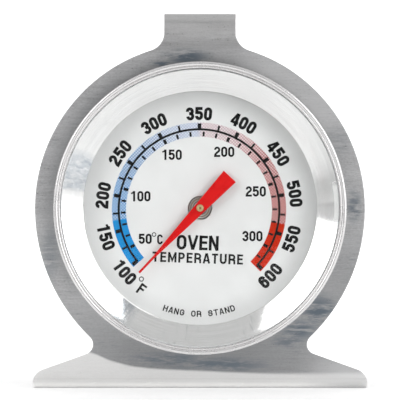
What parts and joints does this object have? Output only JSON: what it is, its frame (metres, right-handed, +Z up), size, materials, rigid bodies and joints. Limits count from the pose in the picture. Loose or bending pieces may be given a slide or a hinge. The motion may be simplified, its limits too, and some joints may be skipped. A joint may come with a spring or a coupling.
{
  "type": "oven thermometer",
  "caption": "Round bimetal dial oven thermometer with a red pointer, in a sheet-steel bracket with a foot to stand on and a hook to hang from a rack.",
  "frame": {"origin": "middle of the base of the whole part's bounding box, on the plane the foot stands on", "axes": "+Z up, the dial faces -Y, +X to the right as seen from the front"},
  "size_m": [0.0624, 0.036, 0.07],
  "materials": {
    "bracket_steel": "brushed across, satin",
    "bezel_steel": "polished",
    "lens_glass": "clear, polished",
    "gasket_rubber": "grey silicone, matte",
    "reflector_metal": "bright",
    "dial_white": "white enamel, matte",
    "dial_ink": "screen-printed, matte",
    "packing_fibre": "matte fibre",
    "case_steel": "drawn, satin",
    "bridge_steel": "stamped",
    "rivet_aluminium": "satin",
    "brass": "turned",
    "bimetal": "rolled, heat tinted",
    "spring_steel": "satin",
    "pointer_red": "gloss red"
  },
  "bodies": {
    "stand_and_case": {"stand_bracket": "bracket_steel", "bezel": "bezel_steel", "lens": "lens_glass", "lens_gasket": "gasket_rubber", "reflector_ring": "reflector_metal", "dial_plate": "dial_white", "packing_ring": "packing_fibre", "rear_case": "case_steel", "movement_bridge": "bridge_steel", "bridge_rivets": "rivet_aluminium", "bearing_sleeve": "brass", "coil_post": "brass", "anchor_pin": "spring_steel", "bimetal_coil": "bimetal"},
    "pointer_assembly": {"arbor": "brass", "coil_collet": "brass", "thrust_washer": "spring_steel", "arbor_clip": "spring_steel", "pointer_hub": "brass", "pointer": "pointer_red"}
  },
  "joints": [
    {"name": "pointer_turn", "type": "hinge", "parent": "stand_and_case", "child": "pointer_assembly", "pos_m": [0, -0.01505, 0.03365], "axis": [0, 1, 0], "range_deg": [-12, 272], "stiffness_Nm_per_rad": 0.0033, "deforming": ["bimetal_coil"]}
  ]
}
